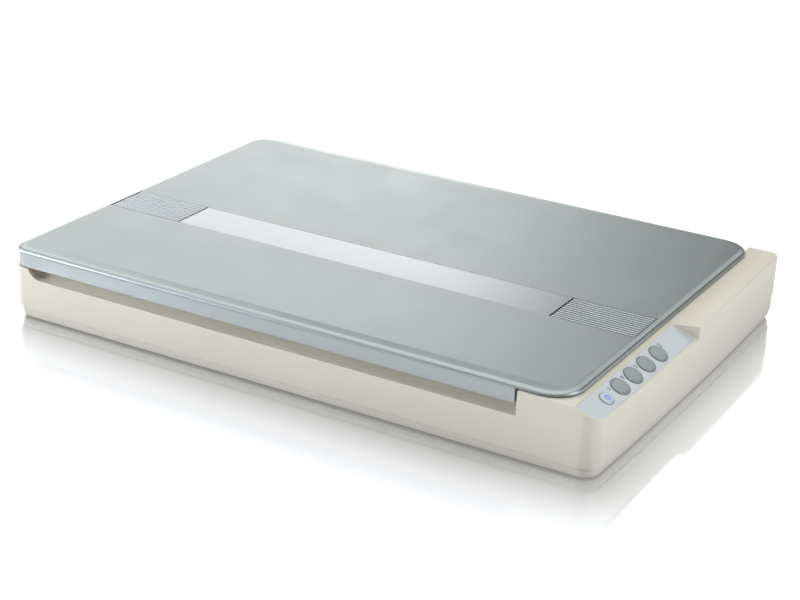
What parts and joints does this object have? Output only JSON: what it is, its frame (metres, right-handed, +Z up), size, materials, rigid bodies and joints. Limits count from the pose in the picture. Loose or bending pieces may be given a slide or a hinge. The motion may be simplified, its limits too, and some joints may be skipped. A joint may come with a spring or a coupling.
{
  "type": "flatbed scanner",
  "caption": "Low wide flatbed scanner with a flat lid on lift-up hinges, sloping button panel at the right, glass bed and a belt-driven sensor bar inside.",
  "frame": {"origin": "centre of the footprint, at the underside of the rubber feet", "axes": "+X to the right along the long side, +Y to the hinged back edge, +Z up"},
  "size_m": [0.589, 0.41, 0.0685],
  "materials": {
    "case": "fine matte texture",
    "tray": "fine matte texture",
    "lid": "satin silver paint",
    "liner": "matte",
    "pad": "soft foam",
    "backing": "smooth white film",
    "stripe": "brushed silver film",
    "grip": "satin silver, ribbed",
    "glass": "clear",
    "white": "white",
    "rubber": "matte",
    "steel": "zinc plated",
    "black": "matte black",
    "grey": "matte",
    "post": "matte",
    "overlay": "silver film",
    "key": "satin",
    "keypower": "satin",
    "icon": "lit blue",
    "pcb": "solder mask",
    "chip": "matte",
    "port": "plated",
    "rod": "ground",
    "bronze": "sintered",
    "lens": "clear",
    "guide": "clear",
    "gear": "acetal",
    "brass": "machined",
    "belt": "matte",
    "ribbon": "satin",
    "motor": "zinc plated"
  },
  "bodies": {
    "base": {"lower_case": "tray", "upper_case": "case", "platen_glass": "glass", "calibration_strip": "white", "rubber_feet": "rubber", "case_screws": "steel", "hinge_sockets": "grey", "panel_overlay": "overlay", "button_board": "pcb", "panel_switches": "chip", "main_board": "pcb", "board_chips": "chip", "board_screws": "steel", "usb_port": "port", "dc_jack": "black", "guide_rod": "rod", "rod_supports": "grey", "timing_belt": "belt", "motor_body": "motor", "motor_bracket": "steel", "tensioner_bracket": "steel", "tensioner_spring": "steel", "home_sensor": "black", "ffc_fixed": "ribbon"},
    "hinge_lift": {"hinge_posts": "post", "hinge_pins": "steel"},
    "lid": {"lid_shell": "lid", "lid_liner": "liner", "lid_flange_liner": "liner", "lid_pad": "pad", "lid_backing": "backing", "lid_stripe": "stripe", "lid_grip_left": "grip", "lid_grip_right": "grip", "lid_screws": "steel", "hinge_leaves": "steel"},
    "key_1": {"button_1": "key"},
    "key_2": {"button_2": "key"},
    "key_3": {"button_3": "key"},
    "key_4": {"button_4": "key"},
    "key_power": {"power_button": "keypower", "power_icon": "icon"},
    "carriage": {"carriage_frame": "black", "carriage_bushings": "bronze", "cis_housing": "black", "cis_cover_glass": "glass", "rod_lens_array": "lens", "light_guide": "guide", "cis_board": "pcb", "cis_spacers": "white", "cis_springs": "steel", "belt_clamp": "grey", "ffc_moving": "ribbon"},
    "drive": {"drive_pulley": "gear", "drive_gear": "gear", "drive_shaft": "rod"},
    "reducer": {"reduction_gear": "gear"},
    "rotor": {"motor_shaft": "rod", "motor_pinion": "brass"},
    "idler": {"idler_pulley": "gear"}
  },
  "joints": [
    {"name": "lid_lift", "type": "slide", "parent": "base", "child": "hinge_lift", "axis": [0, 0, 1], "range_m": [0, 0.02]},
    {"name": "lid_hinge", "type": "hinge", "parent": "hinge_lift", "child": "lid", "pos_m": [0, 0.193, 0.058], "axis": [-1, 0, 0], "range_deg": [0, 85]},
    {"name": "button_1_press", "type": "slide", "parent": "base", "child": "key_1", "axis": [-0.4472, 0, -0.8944], "range_m": [0, 0.0008], "stiffness_N_per_m": 400},
    {"name": "button_2_press", "type": "slide", "parent": "base", "child": "key_2", "axis": [-0.4472, 0, -0.8944], "range_m": [0, 0.0008], "stiffness_N_per_m": 400},
    {"name": "button_3_press", "type": "slide", "parent": "base", "child": "key_3", "axis": [-0.4472, 0, -0.8944], "range_m": [0, 0.0008], "stiffness_N_per_m": 400},
    {"name": "button_4_press", "type": "slide", "parent": "base", "child": "key_4", "axis": [-0.4472, 0, -0.8944], "range_m": [0, 0.0008], "stiffness_N_per_m": 400},
    {"name": "power_press", "type": "slide", "parent": "base", "child": "key_power", "axis": [-0.4472, 0, -0.8944], "range_m": [0, 0.0008], "stiffness_N_per_m": 400},
    {"name": "scan", "type": "slide", "parent": "base", "child": "carriage", "axis": [-1, 0, 0], "range_m": [0, 0.452], "deforming": ["ffc_moving"]},
    {"name": "drive_spin", "type": "hinge", "parent": "base", "child": "drive", "pos_m": [-0.27, -0.023, 0.014], "axis": [0, 0, 1], "continuous": true},
    {"name": "reducer_spin", "type": "hinge", "parent": "base", "child": "reducer", "pos_m": [-0.27, -0.04228, 0.008], "axis": [0, 0, 1], "continuous": true},
    {"name": "motor_spin", "type": "hinge", "parent": "base", "child": "rotor", "pos_m": [-0.27, -0.06156, 0.014], "axis": [0, 0, 1], "continuous": true},
    {"name": "idler_spin", "type": "hinge", "parent": "base", "child": "idler", "pos_m": [0.252, -0.023, 0.017], "axis": [0, 0, 1], "continuous": true}
  ],
  "couplings": [
    {"joint": "drive_spin", "follows": "scan", "rad_per_m": 137.93},
    {"joint": "idler_spin", "follows": "scan", "rad_per_m": 137.93},
    {"joint": "reducer_spin", "follows": "scan", "rad_per_m": -413.79},
    {"joint": "motor_spin", "follows": "scan", "rad_per_m": 1241.4}
  ]
}
